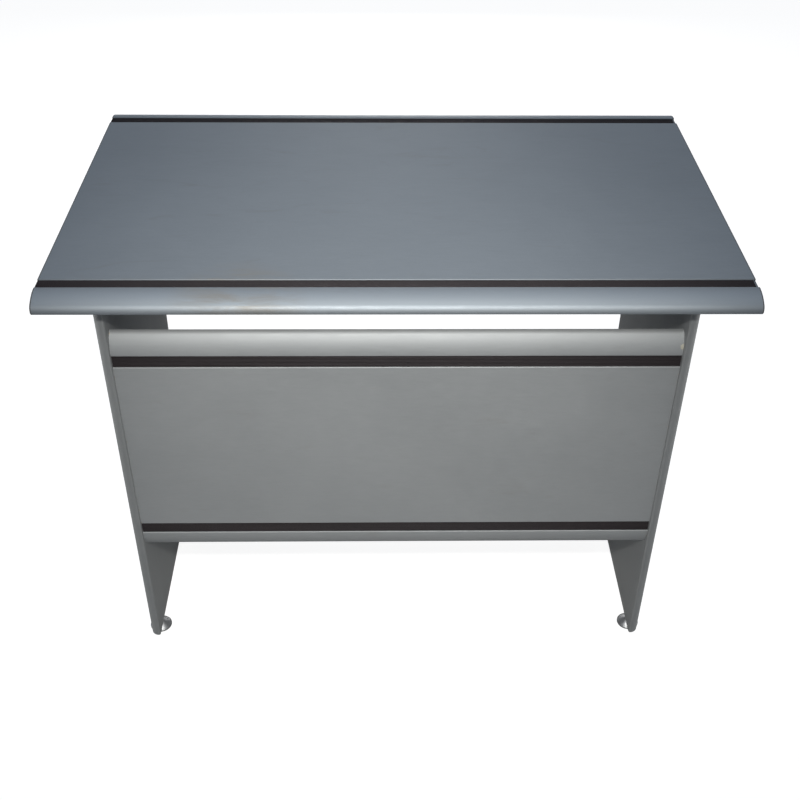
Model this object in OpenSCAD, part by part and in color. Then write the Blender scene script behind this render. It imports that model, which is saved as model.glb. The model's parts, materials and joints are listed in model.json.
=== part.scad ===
// Writing desk: a post-formed top on two slab sides, with a modesty panel between them
// and a shallow pair of lockable drawers hung under the top on the user's side.
// X runs along the desk, left being -X. Y runs from the visitor's side (-Y) to the
// user's side (+Y), and Z is up. The origin is on the floor under the middle of the top.

/* [Desktop] */
// Length of the top
desk_w = 1000; // [980:10:1200]
// Depth of the top
desk_d = 640; // [640:10:700]
// Height of the writing surface above the floor
desk_h = 750; // [740:1:770]
// Thickness of the top
top_t = 25; // [24:1:28]
// Thickness of the edge bands glued on its ends
end_band_t = 2; // [1:0.5:2]

/* [Post-formed edges] */
// Width of the band over which a long edge curves down
nose_run = 34; // [30:1:36]
// Drop of the curve from the face to the foremost line of the edge
nose_drop = 18; // [16:1:18]
// Angle at which the gentle arc hands over to the tight one
nose_angle = 35; // [30:1:40]

/* [Inlay strips] */
// Width of a reeded inlay strip
inlay_w = 20; // [14:1:24]
// Distance from a board's long edge to the strip
inlay_inset = 36; // [36:1:60]
// Depth of the groove that holds the strip
groove_depth = 3; // [2.5:0.5:4]
// Number of reeds across a strip
reeds = 8; // [4:1:10]

/* [Side panels] */
// Thickness of a side panel
side_t = 16; // [16:1:18]
// Depth of a side panel
side_d = 400; // [380:10:420]
// Radius of its front edge towards the outer face, the rest being rounded inwards
side_nose_r = 13; // [10:1:13]
// Thickness of the edge band glued on its rear edge
rear_band_t = 1; // [0.5:0.5:2]
// Distance from the top's end to a side panel's outer face
side_inset = 65; // [40:5:90]
// Distance from the top's visitor edge to a side panel's front edge
side_setback = 54; // [40:1:70]

/* [Modesty panel] */
// Thickness of the modesty panel
modesty_t = 18; // [18:1:22]
// Height of the modesty panel
modesty_h = 428; // [380:2:440]
// Height of its lower edge above the floor
modesty_z = 224; // [200:2:230]
// Distance of its face behind the side panels' front edges
modesty_setback = 6; // [2:1:20]

/* [Levelling glides] */
// Diameter of a glide's chromed cap
glide_d = 38; // [34:1:40]
// Height of the cap, which is the gap under the side panels
glide_h = 12; // [10:1:16]
// Distance of a glide's axis from the middle of its side panel, inwards
glide_offset = 2.5; // [0:0.5:2.5]
// Furthest that a glide screws out
glide_travel = 10; // [5:1:12]

/* [Drawer unit] */
// Height of the drawer unit under the top
unit_h = 125; // [120:1:130]
// Overall depth of the unit, drawer fronts included
unit_d = 370; // [360:5:370]
// Distance from the top's user edge to the drawer fronts
front_setback = 35; // [35:1:50]
// Thickness of the unit's boards and of the drawer fronts
unit_t = 16; // [16:1:18]
// Thickness of the drawer box boards
box_t = 12; // [10:1:12]
// Height of the drawer box sides
box_h = 80; // [70:1:80]
// Distance that a drawer pulls out
drawer_travel = 260; // [200:10:260]

/* [Hidden] */

$fn = 64;
LEFT = -1;
RIGHT = 1;
FRONT = -1;
REAR = 1;
// Overlap given to cutting tools so that they leave no skin
cut = 1;

// Colours
laminate_top = [0.46, 0.50, 0.54];
laminate_grey = [0.55, 0.56, 0.56];
laminate_side = [0.44, 0.45, 0.45];
band_grey = [0.38, 0.40, 0.42];
inlay_black = [0.16, 0.15, 0.16];
chrome = [0.80, 0.81, 0.82];
zinc = [0.68, 0.69, 0.70];
beech = [0.80, 0.66, 0.46];
hardboard = [0.62, 0.62, 0.60];

// Radii of the two arcs of a post-formed edge, which meet at nose_angle
nose_det = sin(nose_angle) * cos(nose_angle) - (1 - sin(nose_angle)) * (1 - cos(nose_angle));
big_r = (nose_run * cos(nose_angle) - nose_drop * (1 - sin(nose_angle))) / nose_det;
small_r = (nose_drop * sin(nose_angle) - nose_run * (1 - cos(nose_angle))) / nose_det;

// Inlay strips
inlay_play = 0.1;
inlay_end_gap = 1.5;
inlay_base = 1.1;
inlay_t = 2;
reed_pitch = (inlay_w - 2 * inlay_play) / reeds;
reed_r = reed_pitch / 2 - 0.1;

// Levels and faces of the frame
top_under = desk_h - top_t;
side_out = desk_w / 2 - side_inset;
side_in = side_out - side_t;
side_mid = side_in + side_t / 2;
side_front = -desk_d / 2 + side_setback;
side_rear = side_front + side_d;
modesty_face = side_front + modesty_setback;
modesty_back = modesty_face + modesty_t;
modesty_mid_z = modesty_z + modesty_h / 2;

// Cam fittings: a housing in one board's face draws in a bolt screwed into the other board
cam_d = 15;
cam_deep = 12.5;
cam_reach = 34;
cam_axis = 8;
bolt_thread_d = 5;
bolt_thread_l = 11;
bolt_d = 6;
bolt_bore = 8;
bore_play = 0.05;

// Dowels
dowel_d = 8;
dowel_in_edge = 20;
dowel_in_face = 10;

// Places of the fittings along the side panels' top edges and the modesty panel's ends
top_cam_y = [side_front + 76, side_rear - 76];
top_dowel_y = [side_front + 44, side_rear - 44];
modesty_cam_z = [modesty_z + 90, modesty_z + modesty_h - 90];
modesty_dowel_z = [modesty_z + 125, modesty_z + modesty_h - 125];

// Glides
glide_inset = 36;
glide_r = glide_d / 2;
glide_rim_w = 1.6;
glide_rim_t = 2.2;
glide_crown_r = 5.5;
glide_dome_r = 54;
glide_gap = 0.3;
stem_d = 6;
stem_l = glide_travel + 30;
insert_d = 8;
insert_l = 13;

// Drawer unit
unit_z = top_under - unit_h;
unit_half = side_in - 3;
unit_in = unit_half - unit_t;
front_out = desk_d / 2 - front_setback;
front_in = front_out - unit_t;
unit_front = front_in - 1;
unit_back_out = front_out - unit_d;
unit_back_in = unit_back_out + unit_t;
board_under = top_under - unit_t;
divider_half = unit_t / 2;

// Rails: three nested channels between the unit and each side of a drawer box
rail_w = 12.7;
rail_h = 35;
rail_l = drawer_travel + 40;
sheet_t = 1.2;
race = 2;
rail_mid_z = unit_z + 52;
rail_front = unit_front - 24;

// Drawer boxes
box_z = unit_z + 12;
box_back = unit_back_in + 9;
bottom_t = 4;
bottom_z = box_z + 6;
bottom_groove = 5;
box_near = divider_half + rail_w;
box_far = unit_in - rail_w;
box_half = (box_far - box_near) / 2;
groove_half = box_half - box_t + bottom_groove;
drawer_mid = (box_near + box_far) / 2;

// Drawer fronts
front_side_gap = 1.5;
front_low = unit_z - 2;
front_high = top_under - 4;
front_mid = (front_side_gap + unit_half - 1) / 2;

// Bow handles
handle_pitch = 128;
handle_bar_d = 10;
handle_reach = 25;
handle_bend = 12;
handle_z = unit_z + 50;
handle_thread_d = 4;
handle_thread_l = 8;

// Cam locks
lock_z = board_under - 15;
lock_body_d = 16;
lock_flange_d = 20;
lock_flange_t = 1.5;
lock_tail = 6;
plug_d = 12;
plug_tail = 4;
cam_plate_t = 2.5;
cam_plate_w = 12;
cam_plate_l = 20;
spindle_d = 6;
strike_t = 1.5;
strike_slot_w = 32;
strike_slot_d = 13;
strike_deep = 8;
lock_plate_y = front_in - lock_tail - plug_tail - cam_plate_t;
strike_mid_y = lock_plate_y + cam_plate_t / 2;

// Screws
hang_screw_d = 4;
hang_screw_l = 28;
hang_head_d = 8;
hang_head_t = 2.4;
frame_screw_d = 5;
frame_screw_l = 50;
frame_head_d = 10;
frame_head_t = 2.5;
hang_x = [60, unit_in - 60];
hang_y = [unit_back_in + 30, unit_front - 45];
frame_y = [unit_back_in + 70, unit_front - 90];
frame_z = [unit_z + 30, board_under - 25];

// ---- Outlines ----

// One post-formed end of a board: u outwards from 0 to nose_run, and w down from 0
module postformed_end(t) {
    low_r = t - nose_drop;
    handover = big_r * sin(nose_angle);
    intersection() {
        translate([0, -big_r]) circle(r = big_r, $fn = 180);
        translate([-cut, -nose_drop]) square([handover + cut, nose_drop]);
    }
    intersection() {
        translate([nose_run - small_r, -nose_drop]) circle(r = small_r);
        translate([0, -nose_drop]) square([nose_run, nose_drop]);
    }
    if (low_r > 0) {
        translate([-cut, -t]) square([nose_run - low_r + cut, low_r]);
        intersection() {
            translate([nose_run - low_r, -nose_drop]) circle(r = low_r);
            translate([nose_run - low_r, -t]) square([low_r, low_r]);
        }
    }
}

// Section of a board with both long edges post-formed and grooved for the inlays
module postformed_section(depth, t) {
    difference() {
        union() {
            flat = depth / 2 - nose_run;
            translate([-flat, -t]) square([2 * flat, t]);
            translate([flat, 0]) postformed_end(t);
            mirror([1, 0]) translate([flat, 0]) postformed_end(t);
        }
        for (s = [-1, 1])
            translate([s * (depth - inlay_w) / 2 - s * inlay_inset - inlay_w / 2, -groove_depth])
                square([inlay_w, groove_depth + cut]);
    }
}

// Section of an inlay strip: a flat base with half-round reeds along it
module inlay_section() {
    half = inlay_w / 2 - inlay_play;
    translate([-half, 0]) square([2 * half, inlay_base]);
    intersection() {
        for (i = [0 : reeds - 1])
            translate([-half + (i + 0.5) * reed_pitch, inlay_t - reed_r]) circle(r = reed_r, $fn = 24);
        translate([-half, 0]) square([2 * half, inlay_t]);
    }
}

// Turns a section in u and w into a length along X, u becoming Y and w becoming Z
module along_x(length) {
    translate([-length / 2, 0, 0]) rotate([90, 0, 90]) linear_extrude(length) children();
}

// The same for an upright board that faces the visitor, u becoming Z and w becoming -Y
module upright_along_x(length) {
    rotate([90, 0, 0]) along_x(length) children();
}

// ---- Fittings, each along Z from the joint plane ----

module cam_bolt() {
    neck_d = 3.5;
    cylinder(d = bolt_thread_d, h = bolt_thread_l);
    translate([0, 0, -cam_reach + 5]) cylinder(d = bolt_d, h = cam_reach - 5);
    translate([0, 0, -cam_reach + 1]) cylinder(d = neck_d, h = 4);
    translate([0, 0, -cam_reach - 3]) cylinder(d = bolt_d, h = 4);
}

module cam_bolt_holes() {
    cylinder(r = bolt_thread_d / 2 + bore_play, h = bolt_thread_l + 0.5);
    translate([0, 0, -cam_reach]) cylinder(d = bolt_bore, h = cam_reach);
}

// The housing's axis is Z, its face is at 0 and the bolt comes along +X
module cam_housing() {
    slot_w = 1.6;
    difference() {
        translate([0, 0, -cam_deep]) cylinder(d = cam_d, h = cam_deep);
        translate([-4, 0, -cam_axis]) rotate([0, 90, 0]) cylinder(d = bolt_bore, h = cam_d);
        for (a = [0, 90])
            rotate([0, 0, a + 45]) translate([-4, -slot_w / 2, -2]) cube([8, slot_w, 2 + cut]);
    }
}

module cam_housing_bore() {
    translate([0, 0, -cam_deep]) cylinder(r = cam_d / 2 + bore_play, h = cam_deep + cut);
}

module dowel() {
    bevel = 1;
    body_l = dowel_in_edge + dowel_in_face - 1 - 2 * bevel;
    translate([0, 0, -dowel_in_edge + 0.5]) {
        cylinder(d1 = dowel_d - 2 * bevel, d2 = dowel_d, h = bevel);
        translate([0, 0, bevel]) cylinder(d = dowel_d, h = body_l);
        translate([0, 0, bevel + body_l]) cylinder(d1 = dowel_d, d2 = dowel_d - 2 * bevel, h = bevel);
    }
}

module dowel_holes() {
    translate([0, 0, -dowel_in_edge])
        cylinder(r = dowel_d / 2 + bore_play, h = dowel_in_edge + dowel_in_face);
}

// Each of these puts its children at every joint of the frame, with the joint plane at
// z = 0, +Z into the board that takes the bolt's thread
module at_top_cams(s) {
    for (y = top_cam_y) translate([s * side_mid, y, top_under]) children();
}

module at_top_dowels(s) {
    for (y = top_dowel_y) translate([s * side_mid, y, top_under]) children();
}

module at_modesty_cams(s) {
    for (z = modesty_cam_z)
        translate([s * side_in, modesty_back - cam_axis, z]) rotate([0, s * 90, 0]) children();
}

module at_modesty_dowels(s) {
    for (z = modesty_dowel_z)
        translate([s * side_in, modesty_back - modesty_t / 2, z]) rotate([0, s * 90, 0]) children();
}

// Housings in a side panel's inner face, and in the modesty panel's back
module at_side_housings(s) {
    for (y = top_cam_y)
        translate([s * side_in, y, top_under - cam_reach])
            rotate([0, -s * 90, 0]) rotate([0, 0, s > 0 ? 0 : 180]) children();
}

module at_modesty_housings(s) {
    for (z = modesty_cam_z)
        translate([s * (side_in - cam_reach), modesty_back, z])
            rotate([-90, 0, 0]) rotate([0, 0, s > 0 ? 0 : 180]) children();
}

// ---- Desktop ----

module hanging_screw_places() {
    for (s = [LEFT, RIGHT], x = hang_x, y = hang_y) translate([s * x, y, board_under]) children();
}

module desktop() {
    color(laminate_top)
        difference() {
            translate([0, 0, desk_h]) along_x(desk_w - 2 * end_band_t) postformed_section(desk_d, top_t);
            for (s = [LEFT, RIGHT]) {
                at_top_cams(s) cam_bolt_holes();
                at_top_dowels(s) dowel_holes();
            }
            hanging_screw_places() cylinder(r = hang_screw_d / 2 + bore_play, h = hang_screw_l);
        }
}

module desktop_end_band(s) {
    color(band_grey)
        translate([s * (desk_w - end_band_t) / 2, 0, desk_h])
            along_x(end_band_t) postformed_section(desk_d, top_t);
}

module desktop_inlay(s) {
    mid_y = s * (desk_d / 2 - inlay_inset - inlay_w / 2);
    color(inlay_black)
        translate([0, mid_y, desk_h - groove_depth])
            along_x(desk_w - 2 * inlay_end_gap) inlay_section();
}

// ---- Side panels ----

// What rounding a corner of +u and -v to radius r takes away, with the round's centre at the origin
module corner_waste(r) {
    difference() {
        translate([0, -r - cut]) square([r + cut, r + cut]);
        circle(r = r);
    }
}

// Outline of a side panel, u outwards from its inner face and v along Y
module side_outline() {
    inner_r = side_t - side_nose_r;
    difference() {
        translate([0, side_front]) square([side_t, side_d - rear_band_t]);
        translate([inner_r, side_front + side_nose_r]) corner_waste(side_nose_r);
        translate([inner_r, side_front + inner_r]) mirror([1, 0]) corner_waste(inner_r);
    }
}

module side_panel(s) {
    color(laminate_side)
        difference() {
            translate([s * side_in, 0, glide_h])
                mirror([s < 0 ? 1 : 0, 0, 0])
                    linear_extrude(top_under - glide_h) side_outline();
            at_top_cams(s) cam_bolt_holes();
            at_top_dowels(s) dowel_holes();
            at_side_housings(s) cam_housing_bore();
            at_modesty_cams(s) cam_bolt_holes();
            at_modesty_dowels(s) dowel_holes();
            for (e = [FRONT, REAR]) glide_place(s, e) {
                translate([0, 0, glide_h - cut]) cylinder(d = insert_d, h = insert_l + cut);
                translate([0, 0, glide_h - cut]) cylinder(d = stem_d + 1, h = stem_l + cut);
            }
        }
}

module panel_rear_band(s) {
    color(band_grey)
        translate([s * side_mid - side_t / 2, side_rear - rear_band_t, glide_h])
            cube([side_t, rear_band_t, top_under - glide_h]);
}

// ---- Modesty panel ----

module modesty_panel() {
    color(laminate_grey)
        difference() {
            translate([0, modesty_face, modesty_mid_z])
                upright_along_x(2 * side_in) postformed_section(modesty_h, modesty_t);
            for (s = [LEFT, RIGHT]) {
                at_modesty_cams(s) cam_bolt_holes();
                at_modesty_dowels(s) dowel_holes();
                at_modesty_housings(s) cam_housing_bore();
            }
        }
}

module modesty_inlay(s) {
    mid_z = modesty_mid_z + s * (modesty_h / 2 - inlay_inset - inlay_w / 2);
    color(inlay_black)
        translate([0, modesty_face + groove_depth, mid_z])
            upright_along_x(2 * (side_in - inlay_end_gap)) inlay_section();
}

// ---- Frame fasteners ----

module cam_housings() {
    color(zinc)
        for (s = [LEFT, RIGHT]) {
            at_side_housings(s) cam_housing();
            at_modesty_housings(s) cam_housing();
        }
}

module cam_bolts() {
    color(zinc)
        for (s = [LEFT, RIGHT]) {
            at_top_cams(s) cam_bolt();
            at_modesty_cams(s) cam_bolt();
        }
}

module dowels() {
    color(beech)
        for (s = [LEFT, RIGHT]) {
            at_top_dowels(s) dowel();
            at_modesty_dowels(s) dowel();
        }
}

// ---- Levelling glides ----

module glide_place(s, e) {
    y = e == FRONT ? side_front + glide_inset : side_rear - glide_inset;
    translate([s * (side_mid - glide_offset), y, 0]) children();
}

module glide_inserts() {
    color(zinc)
        for (s = [LEFT, RIGHT], e = [FRONT, REAR])
            glide_place(s, e) translate([0, 0, glide_h])
                difference() {
                    cylinder(d = insert_d, h = insert_l);
                    translate([0, 0, -cut])
                        cylinder(r = stem_d / 2 + bore_play, h = insert_l + 2 * cut);
                }
}

// Half section of a cap: a flat rim, and a shallow dome from the rim up to the crown
module glide_cap_section() {
    foot_bevel = 0.8;
    low = [glide_r - glide_rim_w, glide_rim_t];
    high = [glide_crown_r, glide_h - glide_gap];
    across = high - low;
    outward = [across.y, -across.x] / norm(across);
    sag = sqrt(glide_dome_r * glide_dome_r - norm(across) * norm(across) / 4);
    intersection() {
        translate([0, glide_rim_t - 0.1]) square([glide_r, high.y - glide_rim_t + 0.1]);
        translate((low + high) / 2 - sag * outward) circle(r = glide_dome_r, $fn = 180);
    }
    polygon([[0, 0], [glide_r - foot_bevel, 0], [glide_r, foot_bevel], [glide_r, glide_rim_t],
             [0, glide_rim_t]]);
}

module glide_cap(s, e) {
    color(chrome)
        glide_place(s, e)
            difference() {
                rotate_extrude($fn = 96) glide_cap_section();
                translate([0, 0, glide_h / 2]) cylinder(d = stem_d, h = glide_h);
            }
}

module glide_stem(s, e) {
    color(zinc)
        glide_place(s, e) translate([0, 0, glide_h / 2]) cylinder(d = stem_d, h = stem_l);
}

// ---- Drawer unit ----

module hanging_screw() {
    translate([0, 0, -hang_head_t]) cylinder(d = hang_head_d, h = hang_head_t);
    cylinder(d = hang_screw_d, h = hang_screw_l - 1);
}

// A frame screw goes down from its head's face at z = 0
module frame_screw() {
    translate([0, 0, -frame_head_t]) cylinder(d = frame_head_d, h = frame_head_t);
    translate([0, 0, -frame_screw_l]) cylinder(d = frame_screw_d, h = frame_screw_l);
}

module frame_screw_hole() {
    translate([0, 0, -frame_head_t]) cylinder(r = frame_head_d / 2 + bore_play, h = frame_head_t + cut);
    translate([0, 0, -frame_screw_l - 1])
        cylinder(r = frame_screw_d / 2 + bore_play, h = frame_screw_l + 1 + cut);
}

module frame_screw_places() {
    back_mid = unit_back_out + unit_t / 2;
    for (s = [LEFT, RIGHT]) {
        for (y = frame_y)
            translate([s * unit_half, y, board_under + unit_t / 2]) rotate([0, s * 90, 0]) children();
        for (z = frame_z)
            translate([s * unit_half, back_mid, z]) rotate([0, s * 90, 0]) children();
    }
    for (y = frame_y) translate([0, y, top_under]) children();
    translate([0, unit_back_out, rail_mid_z]) rotate([90, 0, 0]) children();
}

module unit_side(s) {
    color(laminate_grey)
        difference() {
            translate([s * (unit_half - unit_t / 2) - unit_t / 2, unit_back_out, unit_z])
                cube([unit_t, unit_front - unit_back_out, unit_h]);
            frame_screw_places() frame_screw_hole();
        }
}

module unit_divider() {
    color(laminate_grey)
        difference() {
            translate([-divider_half, unit_back_in, unit_z])
                cube([unit_t, unit_front - unit_back_in, board_under - unit_z]);
            frame_screw_places() frame_screw_hole();
        }
}

module unit_back() {
    color(laminate_grey)
        difference() {
            translate([-unit_in, unit_back_out, unit_z]) cube([2 * unit_in, unit_t, unit_h]);
            frame_screw_places() frame_screw_hole();
        }
}

module strike_slot(s) {
    translate([s * front_mid - strike_slot_w / 2, strike_mid_y - strike_slot_d / 2,
               board_under - strike_t - cut])
        cube([strike_slot_w, strike_slot_d, strike_deep + strike_t + cut]);
}

module unit_top_board() {
    color(laminate_grey)
        difference() {
            translate([-unit_in, unit_back_in, board_under])
                cube([2 * unit_in, unit_front - unit_back_in, unit_t]);
            frame_screw_places() frame_screw_hole();
            hanging_screw_places() translate([0, 0, -cut])
                cylinder(r = hang_screw_d / 2 + bore_play, h = unit_t + 2 * cut);
            for (s = [LEFT, RIGHT]) strike_slot(s);
        }
}

module unit_hanging_screws() {
    color(zinc) hanging_screw_places() hanging_screw();
}

module unit_frame_screws() {
    color(zinc) frame_screw_places() frame_screw();
}

module lock_strikes() {
    plate_w = strike_slot_w + 18;
    plate_d = strike_slot_d + 5;
    color(zinc)
        for (s = [LEFT, RIGHT])
            difference() {
                translate([s * front_mid - plate_w / 2, strike_mid_y - plate_d / 2,
                           board_under - strike_t])
                    cube([plate_w, plate_d, strike_t]);
                strike_slot(s);
            }
}

// ---- Rails ----

// Puts a rail section, drawn from the unit's wall towards the drawer, on both walls of a bay
module rail_pair(s, length) {
    for (wall = [[divider_half, 1], [unit_in, -1]])
        translate([s * wall[0], rail_front, rail_mid_z])
            mirror([s * wall[1] < 0 ? 1 : 0, 0, 0])
                rotate([90, 0, 0]) linear_extrude(length) children();
}

// A channel whose web is at x and whose flanges reach to reach_x
module channel(web_x, reach_x, half_h) {
    low_x = min(web_x, reach_x);
    span = abs(reach_x - web_x);
    translate([web_x < reach_x ? web_x : web_x - sheet_t, -half_h]) square([sheet_t, 2 * half_h]);
    for (z = [-half_h, half_h - sheet_t]) translate([low_x, z]) square([span, sheet_t]);
}

module outer_rails(s) {
    color(zinc) rail_pair(s, rail_l) channel(0, rail_w - 3, rail_h / 2);
}

module middle_rails(s) {
    half_h = rail_h / 2 - sheet_t - race;
    color(zinc) rail_pair(s, rail_l - 10) channel(race, rail_w - 1.3, half_h);
}

module inner_rails(s) {
    half_h = rail_h / 2 - 2 * sheet_t - 2 * race;
    color(zinc) rail_pair(s, rail_l) channel(rail_w, 2 * race, half_h);
}

// ---- Drawers ----

module handle_screw_places(s) {
    for (p = [-1, 1])
        translate([s * front_mid + p * handle_pitch / 2, front_out, handle_z]) rotate([-90, 0, 0])
            children();
}

module drawer_front(s) {
    front_w = unit_half - 1 - front_side_gap;
    color(laminate_top)
        difference() {
            translate([s * front_mid - front_w / 2, front_in, front_low])
                cube([front_w, unit_t, front_high - front_low]);
            translate([s * drawer_mid - groove_half, front_in - cut, bottom_z])
                cube([2 * groove_half, bottom_groove + cut, bottom_t]);
            handle_screw_places(s) translate([0, 0, -unit_t - cut])
                cylinder(r = handle_thread_d / 2 + 0.15, h = unit_t + 2 * cut);
            lock_place(s) translate([0, 0, -unit_t - cut])
                cylinder(r = lock_body_d / 2 + bore_play, h = unit_t + 2 * cut);
        }
}

// wall is the side of the drawer that the board is on, LEFT or RIGHT
module drawer_side(s, wall) {
    inner_x = box_half - box_t;
    side_l = front_in - box_back;
    color(hardboard)
        translate([s * drawer_mid, box_back, 0]) mirror([wall < 0 ? 1 : 0, 0, 0])
            difference() {
                translate([inner_x, 0, box_z]) cube([box_t, side_l, box_h]);
                translate([inner_x - cut, -cut, bottom_z])
                    cube([bottom_groove + cut, side_l + 2 * cut, bottom_t]);
            }
}

module drawer_back(s) {
    back_half = box_half - box_t;
    low = bottom_z + bottom_t;
    color(hardboard)
        translate([s * drawer_mid - back_half, box_back, low])
            cube([2 * back_half, box_t, box_z + box_h - low]);
}

module drawer_bottom(s) {
    play = 0.2;
    bottom_half = groove_half - play;
    color(hardboard)
        translate([s * drawer_mid - bottom_half, box_back, bottom_z])
            cube([2 * bottom_half, front_in - box_back + bottom_groove - play, bottom_t]);
}

module handle(s) {
    bar_half = handle_pitch / 2 - handle_bend;
    post_l = handle_reach - handle_bend;
    color(chrome)
        difference() {
            translate([s * front_mid, front_out, handle_z]) {
                translate([-bar_half, handle_reach, 0]) rotate([0, 90, 0])
                    cylinder(d = handle_bar_d, h = 2 * bar_half);
                for (p = [-1, 1]) {
                    translate([p * handle_pitch / 2, 0, 0]) rotate([-90, 0, 0])
                        cylinder(d = handle_bar_d, h = post_l);
                    mirror([p < 0 ? 1 : 0, 0, 0]) translate([bar_half, post_l, 0])
                        rotate_extrude(angle = 90)
                            translate([handle_bend, 0]) circle(d = handle_bar_d);
                }
            }
            handle_screw_places(s) translate([0, 0, -cut])
                cylinder(r = handle_thread_d / 2 + bore_play, h = handle_thread_l + 1 + cut);
        }
}

module handle_screws(s) {
    head_d = 8;
    head_t = 2.5;
    color(zinc)
        handle_screw_places(s) {
            translate([0, 0, -unit_t - head_t]) cylinder(d = head_d, h = head_t);
            translate([0, 0, -unit_t]) cylinder(d = handle_thread_d, h = unit_t + handle_thread_l);
        }
}

// ---- Locks, each along Z outwards from the drawer front's face ----

module lock_place(s) {
    translate([s * front_mid, front_out, lock_z]) rotate([-90, 0, 0]) children();
}

module lock_housing(s) {
    body_l = unit_t + lock_tail;
    color(chrome)
        lock_place(s)
            difference() {
                union() {
                    translate([0, 0, -body_l]) cylinder(d = lock_body_d, h = body_l);
                    cylinder(d1 = lock_flange_d, d2 = lock_flange_d - 1, h = lock_flange_t);
                }
                translate([0, 0, -body_l - cut])
                    cylinder(r = plug_d / 2 + bore_play, h = body_l + lock_flange_t + 2 * cut);
            }
}

module lock_plug(s) {
    plug_l = unit_t + lock_tail + plug_tail;
    keyway_w = 1.8;
    keyway_h = 7;
    keyway_deep = 8;
    color(chrome)
        lock_place(s)
            difference() {
                union() {
                    translate([0, 0, -plug_l]) cylinder(d = plug_d, h = plug_l + lock_flange_t - 0.3);
                    translate([0, 0, -plug_l - cam_plate_t - 2]) cylinder(d = spindle_d, h = cam_plate_t + 3);
                }
                translate([-keyway_w / 2, -keyway_h / 2, lock_flange_t - keyway_deep])
                    cube([keyway_w, keyway_h, keyway_deep]);
            }
}

// The cam points to -X when unlocked and turns up into the strike
module lock_cam(s) {
    tip_r = cam_plate_w / 2;
    color(zinc)
        translate([s * front_mid, lock_plate_y + cam_plate_t, lock_z]) rotate([90, 0, 0])
            linear_extrude(cam_plate_t)
                difference() {
                    union() {
                        circle(r = tip_r);
                        translate([-cam_plate_l + tip_r, 0]) circle(r = tip_r);
                        translate([-cam_plate_l + tip_r, -tip_r])
                            square([cam_plate_l - tip_r, cam_plate_w]);
                    }
                    circle(d = spindle_d);
                }
}

desktop();
desktop_end_band(LEFT);  // desktop_left_end_band
desktop_end_band(RIGHT);  // desktop_right_end_band
desktop_inlay(FRONT);  // desktop_front_inlay
desktop_inlay(REAR);  // desktop_rear_inlay
side_panel(LEFT);  // left_side_panel
side_panel(RIGHT);  // right_side_panel
panel_rear_band(LEFT);  // left_panel_rear_band
panel_rear_band(RIGHT);  // right_panel_rear_band
modesty_panel();
modesty_inlay(1);  // modesty_upper_inlay
modesty_inlay(-1);  // modesty_lower_inlay
cam_housings();
cam_bolts();
dowels();
glide_inserts();
glide_cap(LEFT, FRONT);  // front_left_glide_cap
glide_stem(LEFT, FRONT);  // front_left_glide_stem
glide_cap(RIGHT, FRONT);  // front_right_glide_cap
glide_stem(RIGHT, FRONT);  // front_right_glide_stem
glide_cap(LEFT, REAR);  // rear_left_glide_cap
glide_stem(LEFT, REAR);  // rear_left_glide_stem
glide_cap(RIGHT, REAR);  // rear_right_glide_cap
glide_stem(RIGHT, REAR);  // rear_right_glide_stem
unit_side(LEFT);  // unit_left_side
unit_side(RIGHT);  // unit_right_side
unit_divider();
unit_back();
unit_top_board();
unit_hanging_screws();
unit_frame_screws();
lock_strikes();
outer_rails(LEFT);  // left_outer_rails
outer_rails(RIGHT);  // right_outer_rails
middle_rails(LEFT);  // left_middle_rails
middle_rails(RIGHT);  // right_middle_rails
drawer_front(LEFT);  // left_drawer_front
drawer_side(LEFT, LEFT);  // left_drawer_left_side
drawer_side(LEFT, RIGHT);  // left_drawer_right_side
drawer_back(LEFT);  // left_drawer_back
drawer_bottom(LEFT);  // left_drawer_bottom
inner_rails(LEFT);  // left_inner_rails
handle(LEFT);  // left_handle
handle_screws(LEFT);  // left_handle_screws
lock_housing(LEFT);  // left_lock_housing
lock_plug(LEFT);  // left_lock_plug
lock_cam(LEFT);  // left_lock_cam
drawer_front(RIGHT);  // right_drawer_front
drawer_side(RIGHT, LEFT);  // right_drawer_left_side
drawer_side(RIGHT, RIGHT);  // right_drawer_right_side
drawer_back(RIGHT);  // right_drawer_back
drawer_bottom(RIGHT);  // right_drawer_bottom
inner_rails(RIGHT);  // right_inner_rails
handle(RIGHT);  // right_handle
handle_screws(RIGHT);  // right_handle_screws
lock_housing(RIGHT);  // right_lock_housing
lock_plug(RIGHT);  // right_lock_plug
lock_cam(RIGHT);  // right_lock_cam
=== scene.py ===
"""A writing desk with drawers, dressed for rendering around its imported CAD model.

Lengths are in metres. X runs along the desk, the visitor's side is -Y and the user's side is +Y.
"""

import json
import math

import bmesh
import bpy
from mathutils import Matrix, Vector


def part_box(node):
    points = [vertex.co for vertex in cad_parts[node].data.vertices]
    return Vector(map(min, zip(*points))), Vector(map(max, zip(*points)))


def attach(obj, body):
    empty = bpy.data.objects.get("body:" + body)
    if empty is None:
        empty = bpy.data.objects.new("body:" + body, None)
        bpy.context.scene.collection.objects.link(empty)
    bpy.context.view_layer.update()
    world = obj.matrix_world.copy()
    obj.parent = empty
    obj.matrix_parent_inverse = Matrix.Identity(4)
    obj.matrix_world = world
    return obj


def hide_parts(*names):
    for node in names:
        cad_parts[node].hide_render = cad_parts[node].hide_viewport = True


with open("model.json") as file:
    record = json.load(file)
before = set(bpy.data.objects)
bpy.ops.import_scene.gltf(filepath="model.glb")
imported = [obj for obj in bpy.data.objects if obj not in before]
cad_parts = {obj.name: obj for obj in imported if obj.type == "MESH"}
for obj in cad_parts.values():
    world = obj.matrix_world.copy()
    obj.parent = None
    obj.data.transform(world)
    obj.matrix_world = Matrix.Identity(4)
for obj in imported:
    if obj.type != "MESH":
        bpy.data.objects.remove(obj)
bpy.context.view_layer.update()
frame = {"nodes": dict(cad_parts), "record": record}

MM = 0.001
SIDES = {"left": -1, "right": 1}
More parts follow.
